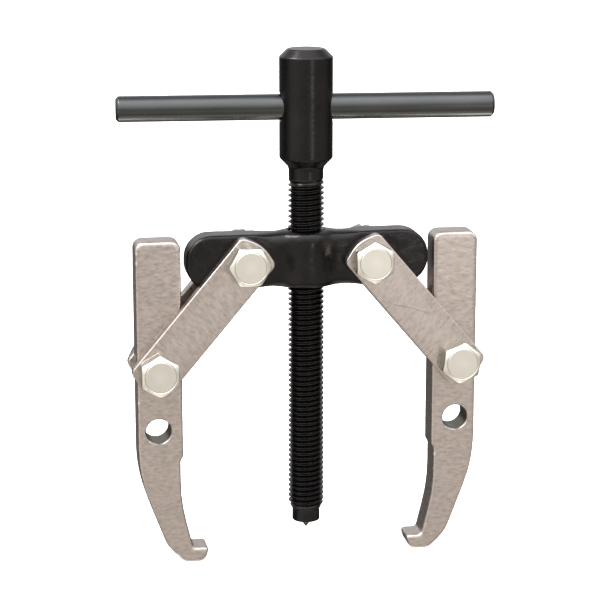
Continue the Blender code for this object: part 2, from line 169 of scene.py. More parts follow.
JAW_BACK = -36.5 * MM  # where the outer side starts to curve in
JAW_BACK_RADIUS = 50 * MM
JAW_HEEL = (2.7 * MM, -62.0 * MM)  # the corner between the curved back and the hook
JAW_HEEL_RADIUS = 14 * MM
HOOK_ROOT = 11.2 * MM
HOOK_ROOT_RADIUS = 1.3 * MM
HOOK_TIP = 16.8 * MM
HOOK_TIP_RADIUS = 1.15 * MM
HOOK_BOTTOM = -67.3 * MM
HOOK_BOTTOM_BACK = 8.6 * MM  # the two ends of the hook's underside
HOOK_BOTTOM_BACK_RADIUS = 3.5 * MM
HOOK_BOTTOM_FRONT = 15.0 * MM
HOOK_BOTTOM_FRONT_RADIUS = 2.8 * MM
JAW_UNEVENNESS = 0.03 * MM
JAW_GRAIN = (3.0 * MM, 2.0 * MM, 2.5 * MM)
JAW_TOP_SOFTENING = 20  # rounds
JAW_TOP_DEPTH = 3.0 * MM  # how far down that reaches
JAW_TOP_FADE = 2.0 * MM
JAW_HOLE_CHAMFER = 0.35 * MM
VOXEL = 0.4 * MM  # of the remeshed forgings
SOFTENING = 4  # rounds, all over a forging
SPARE_HOLE_DROP = 21.0 * MM

# Fasteners, M8 x 1.25
BOLT_RADIUS = 3.95 * MM
BOLT_PITCH = 1.25 * MM
BOLT_LENGTH = 30.0 * MM
BOLT_GRIP = 9.0 * MM  # the plain shank under the head
BOLT_END_RADIUS = 3.1 * MM
BOLT_END_TAPER = 0.85 * MM
BOLT_NECK = 0.15 * MM  # the slope where the shank meets the head
HEAD_ACROSS = 12.4 * MM
HEAD_HEIGHT = 5.3 * MM
NUT_ACROSS = 13.0 * MM
NUT_HEIGHT = 6.5 * MM
NUT_BORE = 4.1 * MM
WASHER_RADIUS = 7.1 * MM
WASHER_BORE = 4.2 * MM
WASHER_SPLIT = math.radians(9)
WASHER_SPRING = 0.12 * MM  # how far each end stands out of line
WASHER_EDGE = 0.2 * MM
HEAD_ROUNDING = 1.0 * MM  # of a bolt head's corners
NUT_ROUNDING = 0.4 * MM
NUT_SINK = 0.6 * MM
HEXAGON_FACE = 0.875  # of the distance across flats: the round end face, inside its chamfer
HEXAGON_SOFTENING = 0.22 * MM
GROOVE = ((0.46 * MM, 0), (0.24 * MM, 0.18 * MM), (0.04 * MM, 0.02 * MM))  # round that face: inwards, down
HEAD_TURNS = {"upper_left": 0, "lower_left": 30, "upper_right": 31, "lower_right": 22}
NUT_TURNS = {"upper_left": 11, "lower_left": 0, "upper_right": 25, "lower_right": 4}
WASHER_TURNS = {"upper_left": 70, "lower_left": 200, "upper_right": 150, "lower_right": 310}

# A scratch across the front of the right strap, from its upper bolt
SCRATCH_START = Vector((5.5, 0, -14.1)) * MM
SCRATCH_LEAN = math.radians(17)
SCRATCH_LENGTH = 16 * MM

# Steps along rounded corners, and the widest angle that still shades smooth
FINE_ARC = math.radians(6)
ARC = math.radians(12)
COARSE_ARC = math.radians(30)
SMOOTH_ANGLE = math.radians(32)

FLOOR_REACH = 6.0  # metres to each side
GLOW_FROM = (-220 * MM, -60 * MM)  # the floor glows from here back, as the far part of a lit sweep does

# The camera, from the yoke's middle
CAMERA_PLACE = Vector((-122.79, -676.66, 143.68)) * MM
CAMERA_TARGET = Vector((-0.648, 0.117, -15.97)) * MM
CAMERA_LENS = 125.4
CAMERA_SENSOR = 36

# The lamps: name, place, side and watts. Both look at the lit place.
LIGHTS = (("top_left", (-0.50, -0.05, 0.80), 0.4, 8.0), ("key", (0.28, -0.95, 0.02), 0.12, 0.42))
LIT_PLACE = Vector((0, 0, 80 * MM))
WARM = (1.0, 0.945, 0.89)  # the tent in front
COOL = (0.97, 0.98, 1.04)  # and overhead

FACE_FRONT = Matrix.Rotation(math.pi / 2, 4, "X")  # local +Z to world -Y

# How a thread falls from its crest at 0 to its root and back over one pitch: (share of pitch, share of depth)
THREAD_FORM = (
    (0.0, 0.0), (0.055, 0.02), (0.10, 0.14), (0.34, 0.86), (0.40, 0.97),
    (0.50, 1.0), (0.60, 0.97), (0.66, 0.86), (0.90, 0.14), (0.945, 0.02),
)
THREAD_DEPTH = 0.6  # of the pitch
THREAD_FADE = 1.6  # pitches over which a thread fades in from the top


def skin(name, columns, closed=True, loop=False):
    """A mesh through columns of points.

    closed joins the last column to the first. loop joins each column's ends, as round a ring's section, and an
    open skin of such columns gets end caps.
    """
    shape = bmesh.new()
    grid = [[shape.verts.new(point) for point in column] for column in columns]
    rows = len(grid[0])
    pairs = list(zip(grid, grid[1:]))
    if closed:
        pairs.append((grid[-1], grid[0]))
    for near, far in pairs:
        for row in range(rows if loop else rows - 1):
            after = (row + 1) % rows
            shape.faces.new((near[row], near[after], far[after], far[row]))
    if loop and not closed:
        shape.faces.new(grid[0])
        shape.faces.new(list(reversed(grid[-1])))
    bmesh.ops.remove_doubles(shape, verts=shape.verts, dist=WELD)
    bmesh.ops.dissolve_degenerate(shape, dist=WELD, edges=shape.edges)
    bmesh.ops.recalc_face_normals(shape, faces=shape.faces)
    mesh = bpy.data.meshes.new(name)
    shape.to_mesh(mesh)
    shape.free()
    return mesh


def filleted(corners, cyclic, step=FINE_ARC):
    """The points through (x, y, fillet radius) corners, each fillet an arc. An open line keeps its two ends."""
    points = []
    for i, (x, y, radius) in enumerate(corners):
        corner = Vector((x, y))
        at_end = not cyclic and i in (0, len(corners) - 1)
        if at_end or radius == 0:
            points.append(corner)
            continue
        before = (Vector(corners[i - 1][:2]) - corner).normalized()
        after = (Vector(corners[(i + 1) % len(corners)][:2]) - corner).normalized()
        opening = before.angle(after)
        centre = corner + (before + after).normalized() * radius / math.sin(opening / 2)
        start = corner + before * radius / math.tan(opening / 2) - centre
        turn = (math.pi - opening) * (1 if before.cross(after) < 0 else -1)
        steps = max(2, math.ceil(abs(turn) / step))
        for k in range(steps + 1):
            points.append(centre + Matrix.Rotation(turn * k / steps, 2) @ start)
    return points


def around(turn, profile):
    """(radius, z) points, stood up at an angle about Z."""
    return [Vector((r * math.cos(turn), r * math.sin(turn), z)) for r, z in profile]


def turned(name, corners, steps=96, loop=False):
    """A shape turned about Z from (radius, z, fillet) corners that run down its outer side."""
    profile = filleted(corners, loop, ARC)
    columns = [around(2 * math.pi * k / steps, profile) for k in range(steps)]
    return skin(name, columns, loop=loop)


def thread_rows(turn, radius, pitch, top, bottom, end_radii, taper):
    """(radius, z) points down a right-hand thread at one angle.

    It fades out at the top. At the bottom it is cut back to a cone, taper high, as its end is turned off.
    """
    rows = []
    for n in range(math.ceil((top - bottom) / pitch) + 2):
        for share, depth in THREAD_FORM:
            z = top + pitch * (1 + turn / (2 * math.pi) - n - share)
            if z >= top:
                rows.append((end_radii[0], top))
            elif z <= bottom:
                rows.append((end_radii[1], bottom))
            else:
                fade = min(1, (top - z) / (THREAD_FADE * pitch))
                rise = end_radii[0] + (radius - end_radii[0]) * fade
                cone = end_radii[1] + (radius - end_radii[1]) * (z - bottom) / taper
                rows.append((min(rise - THREAD_DEPTH * pitch * depth * fade, cone), z))
    return rows


def settle(obj):
    """The object's shape with its modifiers in, as a mesh. The object goes."""
    bpy.context.view_layer.update()
    graph = bpy.context.evaluated_depsgraph_get()
    mesh = bpy.data.meshes.new_from_object(obj.evaluated_get(graph))
    bpy.data.objects.remove(obj, do_unlink=True)
    return mesh


def helper(name, mesh, matrix=Matrix()):
    obj = bpy.data.objects.new(name, mesh)
    obj.matrix_world = matrix
    bpy.context.scene.collection.objects.link(obj)
    return obj


def boolean(mesh, operation, cutters):
    """The mesh joined with or cut by (mesh, matrix) cutters."""
    obj = helper("cut", mesh)
    others = [helper("cutter", other, matrix) for other, matrix in cutters]
    for other in others:
        modifier = obj.modifiers.new("cut", "BOOLEAN")
        modifier.operation = operation
        modifier.solver = "EXACT"
        modifier.object = other
    result = settle(obj)
    for other in others:
        bpy.data.objects.remove(other, do_unlink=True)
    return result


def plate(name, outline, thickness, edge):
    """A flat plate in XY from an anticlockwise outline, its edges rounded by edge."""
    curve = bpy.data.curves.new(name, "CURVE")
    curve.dimensions = "2D"
    curve.fill_mode = "BOTH"
    curve.extrude = thickness / 2 - edge
    curve.bevel_depth = edge
    curve.bevel_resolution = 4
    curve.offset = -edge
    spline = curve.splines.new("POLY")
    spline.points.add(len(outline) - 1)
    for point, place in zip(spline.points, outline):
        point.co = (*place, 0, 1)
    spline.use_cyclic_u = True
    mesh = settle(helper(name, curve))
    shape = bmesh.new()
    shape.from_mesh(mesh)
    bmesh.ops.remove_doubles(shape, verts=shape.verts, dist=WELD)
    shape.to_mesh(mesh)
    shape.free()
    return mesh


def drill(radius, reach, depth, chamfer):
    """A drill along Z for a plate depth thick, with a chamfer at both mouths."""
    half = depth / 2
    outside = radius + chamfer + reach - half
    return turned("drill", [
        (0, reach, 0), (outside, reach, 0), (radius, half - chamfer, 0),
        (radius, chamfer - half, 0), (outside, -reach, 0), (0, -reach, 0),
    ])


def mark_holes(mesh, places):
    """Marks the walls of holes drilled along Z at the places, where the satin finish paints shade."""
    marks = mesh.attributes.new("drilled", "FLOAT", "POINT")
    for vertex, mark in zip(mesh.vertices, marks.data):
        near = min((vertex.co.xy - place.translation.xy).length for place in places)
        mark.value = 1.0 if near < HOLE_RADIUS + 0.05 * MM else 0.0
    return mesh


def forge(mesh, unevenness, grain, weight, rounds):
    """The mesh as a forging: evened out, softened, and made uneven over patches of grain metres each way.

    Rounds of further smoothing act by the weight of each place.
    """
    obj = helper("forging", mesh)
    even = obj.modifiers.new("even", "REMESH")
    even.mode = "VOXEL"
    even.voxel_size = VOXEL
    obj = helper("forging", settle(obj))
    soften = obj.modifiers.new("soften", "SMOOTH")
    soften.iterations = SOFTENING
    group = obj.vertex_groups.new(name="softer")
    for vertex in obj.data.vertices:
        group.add([vertex.index], weight(vertex.co), "REPLACE")
    further = obj.modifiers.new("further", "SMOOTH")
    further.iterations = rounds
    further.vertex_group = group.name
    mesh = settle(obj)
    rises = []
    for vertex in mesh.vertices:
        place = Vector([c / g for c, g in zip(vertex.co, grain)])
        rises.append(vertex.normal * unevenness * (noise.noise(place) + 0.5 * noise.noise(2.1 * place)))
    for vertex, rise in zip(mesh.vertices, rises):
        vertex.co += rise
    return mesh


def slab(node):
    """(middle, thickness) of a CAD node along Y."""
    low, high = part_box(node)
    return (low.y + high.y) / 2, high.y - low.y


def hexagon(across, rounding):
    """(angle, radius) pairs once round a hexagon with flats square to X and rounded corners."""
    apothem = across / 2
    centre = (apothem - rounding) / math.cos(math.pi / 6)  # of a corner's rounding, from the axis
    flat = math.atan(centre / 2 / apothem)  # half the angle that the flat fills
    flats = [flat * k / 5 for k in range(-5, 6)]
    pairs = []
    for side in range(6):
        for lean in flats:
            pairs.append((side * math.pi / 3 + lean, apothem / math.cos(lean)))
        for lean in (-0.5, 0, 0.5):
            off = lean * (math.pi / 6 - flat)
            reach = centre * math.cos(off) + math.sqrt(rounding**2 - (centre * math.sin(off)) ** 2)
            pairs.append((side * math.pi / 3 + math.pi / 6 + off, reach))
    return pairs


def chamfered_side(radius, across, top, bottom, both):
    """(radius, z) points over a hexagon's end, its 30 degree chamfer and its flat, at one radius of it."""
    slope = math.tan(math.radians(30))
    face = across / 2 * HEXAGON_FACE
    soft = HEXAGON_SOFTENING
    drop = (radius - face) * slope
    side = [
        *((face - inwards, top - down) for inwards, down in GROOVE),
        (face + soft, top - soft * slope),
        (radius - soft, top - drop + soft * slope),
        (radius - 0.2 * soft, top - drop - 0.3 * soft),
        (radius, top - drop - soft),
    ]
    if both:
        return side + [(r, top + bottom - z) for r, z in reversed(side)]
    return side + [(radius, bottom + soft), (radius - soft, bottom)]


# Meshes of the pieces


def yoke_mesh():
    """The bar and its boss in one forging, whose boss runs out into the bar."""
    x, z = YOKE_LENGTH / 2, YOKE_HEIGHT / 2
    corners = [(x, -z), (x, z), (-x, z), (-x, -z)]
    outline = filleted([(*corner, YOKE_END_RADIUS) for corner in corners], True)
    bar = plate("yoke", outline, YOKE_THICKNESS, YOKE_EDGE)
    bar.transform(FACE_FRONT)
    half = BOSS_HEIGHT / 2
    boss = turned("boss", [
        (0, half, 0), (BOSS_RADIUS, half, BOSS_EDGE), (BOSS_RADIUS, -half, BOSS_EDGE), (0, -half, 0),
    ])
    joined = boolean(bar, "UNION", [(boss, Matrix())])

    def near_boss(place):
        return max(0.0, min(1.0, (BOSS_BLEND - math.hypot(place.x, place.y)) / BOSS_FADE))

    forging = forge(joined, YOKE_UNEVENNESS, YOKE_GRAIN, near_boss, BOSS_SOFTENING)
    bore = turned("bore", [
        (0, 2 * half, 0), (BORE_RADIUS + half, 2 * half, 0), (BORE_RADIUS, half - BORE_CHAMFER, 0),
        (BORE_RADIUS, BORE_CHAMFER - half, 0), (BORE_RADIUS + half, -2 * half, 0), (0, -2 * half, 0),
    ])
    cutters = [(bore, Matrix())]
    for side in SIDES:
        place = Matrix.Translation(UPPER[side] - CENTRE) @ FACE_FRONT
        cutters.append((drill(HOLE_RADIUS, YOKE_THICKNESS, YOKE_THICKNESS, YOKE_HOLE_CHAMFER), place))
    return boolean(forging, "DIFFERENCE", cutters)


def screw_mesh():
    """The forcing screw along Z: its drilled round head, its neck and its thread."""
    above = filleted([
        (0, HEAD_TOP, 0),
        (HEAD_RADIUS - HEAD_CHAMFER[0], HEAD_TOP, HEAD_FACE_ROUNDING),
        (HEAD_RADIUS, HEAD_TOP - HEAD_CHAMFER[1], HEAD_SIDE_ROUNDING),
        (HEAD_RADIUS, HEAD_BOTTOM + HEAD_FOOT, HEAD_SIDE_ROUNDING),
        (NECK_RADIUS + NECK_FLARE, HEAD_BOTTOM, HEAD_FOOT_ROUNDING),
        (NECK_RADIUS, THREAD_TOP + NECK_STRAIGHT, NECK_ROUNDING),
        (NECK_RADIUS, THREAD_TOP, 0),
    ], False, ARC)
    below = filleted([
        (SCREW_END_RADIUS, THREAD_BOTTOM, 0),
        (SOCKET_RADIUS, THREAD_BOTTOM, 0),
        (SOCKET_RADIUS, THREAD_BOTTOM + SOCKET_DEPTH, 0),
        (0, THREAD_BOTTOM + SOCKET_DEPTH + SOCKET_CONE, 0),
    ], False)
    steps = 64
    columns = []
    for k in range(steps + 1):
        turn = 2 * math.pi * k / steps
        rows = thread_rows(
            turn, THREAD_RADIUS, THREAD_PITCH, THREAD_TOP, THREAD_BOTTOM,
            (NECK_RADIUS, SCREW_END_RADIUS), SCREW_END_TAPER,
        )
        columns.append(around(turn, [*above, *rows, *below]))
    screw = skin("forcing_screw", columns, closed=False)
    straight = HEAD_RADIUS - BAR_HOLE_FLARE
    outside = 2 * HEAD_RADIUS
    mouth = BAR_HOLE_RADIUS + outside - straight
    hole = turned("bar_hole", [
        (0, outside, 0), (mouth, outside, 0), (BAR_HOLE_RADIUS, straight, 0),
        (BAR_HOLE_RADIUS, -straight, 0), (mouth, -outside, 0), (0, -outside, 0),
    ])
    across = Matrix.Translation((0, 0, BAR_Z)) @ Matrix.Rotation(math.pi / 2, 4, "Y")
    return boolean(screw, "DIFFERENCE", [(hole, across)])


def bar_mesh():
    half = BAR_LENGTH / 2
    end = [
        (0, half, 0),
        (BAR_RADIUS - BAR_CHAMFER, half, BAR_ROUNDINGS[0]),
        (BAR_RADIUS, half - BAR_CHAMFER, BAR_ROUNDINGS[1]),
    ]
    profile = end + [(r, -z, fillet) for r, z, fillet in reversed(end)]
    mesh = turned("tommy_bar", profile)
    mesh.transform(Matrix.Translation((0, 0, BAR_Z)) @ Matrix.Rotation(math.pi / 2, 4, "Y"))
    return mesh


def point_mesh():
    return turned("centre_point", [
        (0, SPIGOT_LENGTH, 0),
        (SPIGOT_RADIUS, SPIGOT_LENGTH, SPIGOT_END_ROUNDING),
        (SPIGOT_RADIUS, 0, SPIGOT_ROOT_ROUNDING),
        (POINT_RADIUS, 0, POINT_TOP_ROUNDING),
        (POINT_RADIUS, -POINT_BODY, POINT_BOTTOM_ROUNDING),
        (POINT_CONE_RADIUS, -POINT_BODY, POINT_CONE_ROUNDING),
        (POINT_TIP[0], -POINT_BODY - POINT_CONE + POINT_TIP[1], POINT_TIP_ROUNDING),
        (0, -POINT_BODY - POINT_CONE, 0),
    ])


def strap_mesh(thickness):
    """A strap along local X from its upper hole."""
    half_width = STRAP_WIDTH / 2
    far = [
        (LINK_LENGTH + STRAP_SHOULDER, -half_width, STRAP_SHOULDER_RADIUS),
        (LINK_LENGTH + STRAP_TIP, 0, STRAP_TIP_RADIUS),
        (LINK_LENGTH + STRAP_SHOULDER, half_width, STRAP_SHOULDER_RADIUS),
    ]
    near = [(LINK_LENGTH - x, -y, radius) for x, y, radius in far]
    blank = plate("strap", filleted(far + near, True), thickness, STRAP_EDGE)
    hole = drill(HOLE_RADIUS, 2 * thickness, thickness, STRAP_HOLE_CHAMFER)
    places = [Matrix.Translation((x, 0, 0)) for x in (0, LINK_LENGTH)]
    return mark_holes(boolean(blank, "DIFFERENCE", [(hole, place) for place in places]), places)


def jaw_mesh(side, thickness):
    """A jaw in XY about its lower bolt, its hook towards the screw."""
    seat = -LOWER["left"].z
    corners = [
        (-JAW_OUTER, JAW_TOP, JAW_TOP_RADIUS),
        (-JAW_OUTER, JAW_BACK, JAW_BACK_RADIUS),
        (*JAW_HEEL, JAW_HEEL_RADIUS),
        (HOOK_BOTTOM_BACK, HOOK_BOTTOM, HOOK_BOTTOM_BACK_RADIUS),
        (HOOK_BOTTOM_FRONT, HOOK_BOTTOM, HOOK_BOTTOM_FRONT_RADIUS),
        (HOOK_TIP, seat, HOOK_TIP_RADIUS),
        (HOOK_ROOT, seat, HOOK_ROOT_RADIUS),
        (JAW_WAIST, JAW_BELLY, JAW_BELLY_RADIUS),
        (JAW_WAIST, JAW_STEP_BOTTOM, JAW_STEP_RADIUS),
        (JAW_INNER, JAW_STEP_TOP, JAW_STEP_RADIUS),
        (JAW_INNER, JAW_TOP, JAW_TOP_RADIUS),
    ]
    inward = -SIDES[side]
    corners = [(inward * x, y, radius) for x, y, radius in corners]
    if inward < 0:
        corners.reverse()
    blank = plate("jaw", filleted(corners, True), thickness, JAW_EDGE)

    def near_top(place):
        return max(0.0, min(1.0, (place.y - JAW_TOP + JAW_TOP_DEPTH) / JAW_TOP_FADE))

    forging = forge(blank, JAW_UNEVENNESS, JAW_GRAIN, near_top, JAW_TOP_SOFTENING)
    hole = drill(HOLE_RADIUS, 2 * thickness, thickness, JAW_HOLE_CHAMFER)
    places = [Matrix.Translation((0, y, 0)) for y in (0, -SPARE_HOLE_DROP)]
    return mark_holes(boolean(forging, "DIFFERENCE", [(hole, place) for place in places]), places)


def bolt_mesh():
    """A bolt along Z: its head above 0, its plain shank, and its thread to the end."""
    thread_top = -BOLT_GRIP
    columns = []
    pairs = hexagon(HEAD_ACROSS, HEAD_ROUNDING)
    start = pairs[0][0]
    for turn, radius in [*pairs, (start + 2 * math.pi, pairs[0][1])]:
        head = [(0, HEAD_HEIGHT)] + chamfered_side(radius, HEAD_ACROSS, HEAD_HEIGHT, 0, False)
        neck = [(BOLT_RADIUS + BOLT_NECK, 0), (BOLT_RADIUS, -BOLT_NECK), (BOLT_RADIUS, thread_top)]
        rows = thread_rows(
            turn - start, BOLT_RADIUS, BOLT_PITCH, thread_top, -BOLT_LENGTH,
            (BOLT_RADIUS, BOLT_END_RADIUS), BOLT_END_TAPER,
        )
        columns.append(around(turn, [*head, *neck, *rows, (0, -BOLT_LENGTH)]))
    return skin("bolt", columns, closed=False)


def nut_mesh():
    """A nut along Z from 0 down, its bore countersunk at both ends."""
    columns = []
    for turn, radius in hexagon(NUT_ACROSS, NUT_ROUNDING):
        side = chamfered_side(radius, NUT_ACROSS, 0, -NUT_HEIGHT, True)
        bore = [
            (NUT_BORE + NUT_SINK, -NUT_HEIGHT), (NUT_BORE, NUT_SINK - NUT_HEIGHT),
            (NUT_BORE, -NUT_SINK), (NUT_BORE + NUT_SINK, 0),
        ]
        columns.append(around(turn, side + bore))
    return skin("nut", columns, loop=True)


def washer_mesh(thickness):
    """A split spring washer along Z from 0 down, its two ends a little out of line."""
    spring = WASHER_SPRING
    section = filleted([
        (WASHER_RADIUS, -spring, WASHER_EDGE), (WASHER_RADIUS, spring - thickness, WASHER_EDGE),
        (WASHER_BORE, spring - thickness, WASHER_EDGE), (WASHER_BORE, -spring, WASHER_EDGE),
    ], True, COARSE_ARC)
    columns = []
    steps = 72
    for k in range(steps + 1):
        share = k / steps
        turn = WASHER_SPLIT + share * 2 * (math.pi - WASHER_SPLIT)
        rise = spring * (2 * share - 1)
        columns.append(around(turn, [(r, z + rise) for r, z in section]))
    return skin("washer", columns, closed=False, loop=True)


# Nodes and materials


def add_node(tree, kind, inputs, **settings):
    """A node with its settings, and each input a value or a link from a socket."""
    made = tree.nodes.new(kind)
    for key, value in settings.items():
        setattr(made, key, value)
    for key, value in inputs.items():
        if isinstance(value, bpy.types.NodeSocket):
            tree.links.new(value, made.inputs[key])
        else:
            made.inputs[key].default_value = value
    return made


def spread(tree, value, low, high, to_low, to_high):
    """The value carried from one range to another, and held at its ends."""
    inputs = {"Value": value, "From Min": low, "From Max": high, "To Min": to_low, "To Max": to_high}
    return add_node(tree, "ShaderNodeMapRange", inputs).outputs["Result"]


class Finish:
    """A material, built node by node round a Principled BSDF."""

    def __init__(self, name, metallic):
        self.material = bpy.data.materials.new(name)
        self.material.use_nodes = True
        self.tree = self.material.node_tree
        self.shader = self.tree.nodes["Principled BSDF"]
        self.shader.inputs["Metallic"].default_value = metallic
        self.place = self.tree.nodes.new("ShaderNodeTexCoord").outputs["Object"]

    def node(self, kind, inputs, **settings):
        return add_node(self.tree, kind, inputs, **settings)

    def noise(self, size, stretch=(1, 1, 1), turn=0.0, detail=4.0):
        """Noise from 0 to 1, its features about size metres across, stretched by axis and turned about Y."""
        turned_place = self.node("ShaderNodeMapping", {"Vector": self.place, "Rotation": (0, turn, 0)})
        scale = tuple(1 / (size * s) for s in stretch)
        place = self.node("ShaderNodeMapping", {"Vector": turned_place.outputs[0], "Scale": scale})
        inputs = {"Vector": place.outputs[0], "Scale": 1.0, "Detail": detail, "Roughness": 0.6}
        return self.node("ShaderNodeTexNoise", inputs).outputs["Fac"]

    def spread(self, value, low, high, to_low, to_high):
        return spread(self.tree, value, low, high, to_low, to_high)

    def times(self, a, b):
        return self.node("ShaderNodeMath", {0: a, 1: b}, operation="MULTIPLY").outputs[0]

    def mix(self, factor, a, b):
        colours = {"Factor": factor, 6: a if not isinstance(a, tuple) else (*a, 1), 7: (*b, 1)}
        return self.node("ShaderNodeMix", colours, data_type="RGBA").outputs[2]

    def edges(self, low, high):
        """0 on flats and hollows, 1 on sharp outer edges."""
        pointed = self.node("ShaderNodeNewGeometry", {}).outputs["Pointiness"]
        return self.spread(pointed, low, high, 0.0, 1.0)

    def hollows(self):
        """1 in grooves and inner corners, where the zinc finish paints shade, 0 elsewhere."""
        pointed = self.node("ShaderNodeNewGeometry", {}).outputs["Pointiness"]
        return self.spread(pointed, 0.44, 0.497, 1.0, 0.0)

    def sides(self):
        """1 on faces turned away from Y, such as a bolt head's flats, and 0 on those that face along it."""
        normal = self.tree.nodes.new("ShaderNodeTexCoord").outputs["Normal"]
        along = self.node("ShaderNodeSeparateXYZ", {0: normal}).outputs["Y"]
        size = self.node("ShaderNodeMath", {0: along}, operation="ABSOLUTE").outputs[0]
        return self.spread(size, 0.3, 0.6, 1.0, 0.0)

    def scratch(self, start, lean, length):
        """1 along a thin wavering line from start, leaning down by lean, on pieces in front of the screw."""
        inputs = {"Vector": self.place, "Location": start, "Rotation": (0, lean, 0)}
        along = self.node("ShaderNodeMapping", inputs, vector_type="TEXTURE")
        x, y, z = self.node("ShaderNodeSeparateXYZ", {0: along.outputs[0]}).outputs
        waver = self.spread(self.noise(6 * MM, detail=1.0), 0.3, 0.7, -0.7 * MM, 0.7 * MM)
        offset = self.node("ShaderNodeMath", {0: z, 1: waver}, operation="ADD").outputs[0]
        off_line = self.node("ShaderNodeMath", {0: offset}, operation="ABSOLUTE").outputs[0]
        from_middle = self.node("ShaderNodeMath", {0: x, 1: -length / 2}, operation="ADD").outputs[0]
        reach = self.node("ShaderNodeMath", {0: from_middle}, operation="ABSOLUTE").outputs[0]
        line = self.spread(off_line, 0.05 * MM, 0.22 * MM, 1.0, 0.0)
        ends = self.spread(reach, length / 2 - 3 * MM, length / 2, 1.0, 0.0)
        return self.times(self.times(line, ends), self.spread(y, -1 * MM, 1 * MM, 1.0, 0.0))

    def finish(self, colour, roughness, heights):
        """Sets colour and roughness, and bumps from (height, depth in metres) pairs."""
        self.tree.links.new(colour, self.shader.inputs["Base Color"])
        self.tree.links.new(roughness, self.shader.inputs["Roughness"])
        normal = None
        for height, depth in heights:
            inputs = {"Height": height, "Distance": depth, "Strength": 1.0}
            if normal:
                inputs["Normal"] = normal
            normal = self.node("ShaderNodeBump", inputs).outputs["Normal"]
        self.tree.links.new(normal, self.shader.inputs["Normal"])
        return self.material


def black_oxide(name, forged):
    """Blackened steel, with bare metal showing faintly along its edges."""
    steel = Finish(name, 1.0)
    patches = steel.noise(9 * MM)
    grain = steel.noise(0.9 * MM)
    base = steel.mix(patches, (0.017, 0.016, 0.016), (0.032, 0.030, 0.029))
    wear = steel.times(steel.edges(0.52, 0.62), steel.spread(grain, 0.4, 0.7, 0.0, 0.7))
    colour = steel.mix(wear, base, (0.13, 0.125, 0.12))
    roughness = steel.spread(grain, 0.3, 0.7, 0.20, 0.34)
    depth = 0.09 * MM if forged else 0.02 * MM
    return steel.finish(colour, roughness, [(steel.noise(3.5 * MM), depth), (grain, 0.025 * MM)])


def dark_bar():
    """Drawn bar with a thin dark skin, streaked along its length."""
    steel = Finish("dark_bar", 1.0)
    streaks = steel.noise(0.7 * MM, (30, 1, 1))
    patches = steel.noise(7 * MM, (2, 1, 1))
    base = steel.mix(patches, (0.054, 0.056, 0.054), (0.078, 0.080, 0.078))
    colour = steel.mix(steel.times(steel.edges(0.60, 0.70), 0.6), base, (0.35, 0.35, 0.34))
    roughness = steel.spread(streaks, 0.3, 0.7, 0.18, 0.30)
    return steel.finish(colour, roughness, [(streaks, 0.012 * MM), (steel.noise(1.2 * MM), 0.010 * MM)])


def satin_nickel(name, turn, forged, scratch=None):
    """Satin plate over forged or pressed steel, its grain turned about Y. Its edges carry wear and a painted
    highlight, and its hole walls painted shade.

    A scratch is (start, lean, length).
    """
    steel = Finish(name, 1.0)
    patches = steel.noise(11 * MM)
    grain = steel.noise(0.8 * MM, (2.6, 1, 1), turn)
    base = steel.mix(patches, (0.46, 0.405, 0.368), (0.52, 0.458, 0.416))
    shaded = steel.mix(steel.spread(grain, 0.35, 0.65, 0.50, 0.0), base, (0.27, 0.235, 0.21))
    # Outer edges lightened: partly worn plating, partly a painted highlight.
    worn_and_highlit = steel.mix(steel.times(steel.edges(0.53, 0.62), 0.7), shaded, (0.80, 0.77, 0.73))
    drilled = steel.node("ShaderNodeAttribute", {}, attribute_name="drilled").outputs["Fac"]
    # Painted shade: hole walls darkened to a dark brown.
    colour = steel.mix(drilled, worn_and_highlit, (0.085, 0.074, 0.052))
    if scratch:
        colour = steel.mix(steel.times(steel.scratch(*scratch), 0.55), colour, (0.16, 0.135, 0.115))
    roughness = steel.spread(grain, 0.3, 0.7, 0.25, 0.38)
    depth = 0.08 * MM if forged else 0.02 * MM
    heights = [(steel.noise(1.9 * MM, (1.6, 1, 1), turn), depth), (grain, 0.012 * MM)]
    return steel.finish(colour, roughness, heights)


def bright_zinc():
    """Zinc plate with a faint warm tint in patches, painted shade on its side flats and in its hollows, and
    rubbed edges with a painted highlight.
    """
    steel = Finish("bright_zinc", 1.0)
    patches = steel.noise(4 * MM)
    grain = steel.noise(0.5 * MM)
    base = steel.mix(patches, (0.60, 0.58, 0.51), (0.67, 0.65, 0.58))
    # Painted shade: faces turned away from front and back, such as the hex flats, are darkened.
    painted_side_shade = steel.mix(steel.times(steel.sides(), 0.75), base, (0.28, 0.28, 0.22))
    # Outer edges lightened nearly to white: partly rubbed plating, partly a painted highlight.
    rubbed_and_highlit = steel.mix(steel.times(steel.edges(0.53, 0.62), 0.6), painted_side_shade, (0.93, 0.92, 0.88))
    # Painted shade in grooves and inner corners, such as the ring round a head's face.
    colour = steel.mix(steel.times(steel.hollows(), 0.8), rubbed_and_highlit, (0.14, 0.14, 0.10))
    roughness = steel.spread(grain, 0.3, 0.7, 0.28, 0.40)
    return steel.finish(colour, roughness, [(steel.noise(1.6 * MM), 0.015 * MM), (grain, 0.008 * MM)])


# Assembly


def finish_piece(name, mesh, material, body, node, matrix=Matrix()):
    """Adds a piece in place of a CAD node, with its vertices in the frame's coordinates."""
    mesh = mesh.copy()
    mesh.transform(matrix)
    mesh.shade_smooth()
    mesh.set_sharp_from_angle(angle=SMOOTH_ANGLE)
    mesh.materials.clear()
    mesh.materials.append(material)
    piece = helper(name, mesh)
    even = piece.modifiers.new("flat_faces", "WEIGHTED_NORMAL")
    even.keep_sharp = True
    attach(piece, body)
    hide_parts(node)


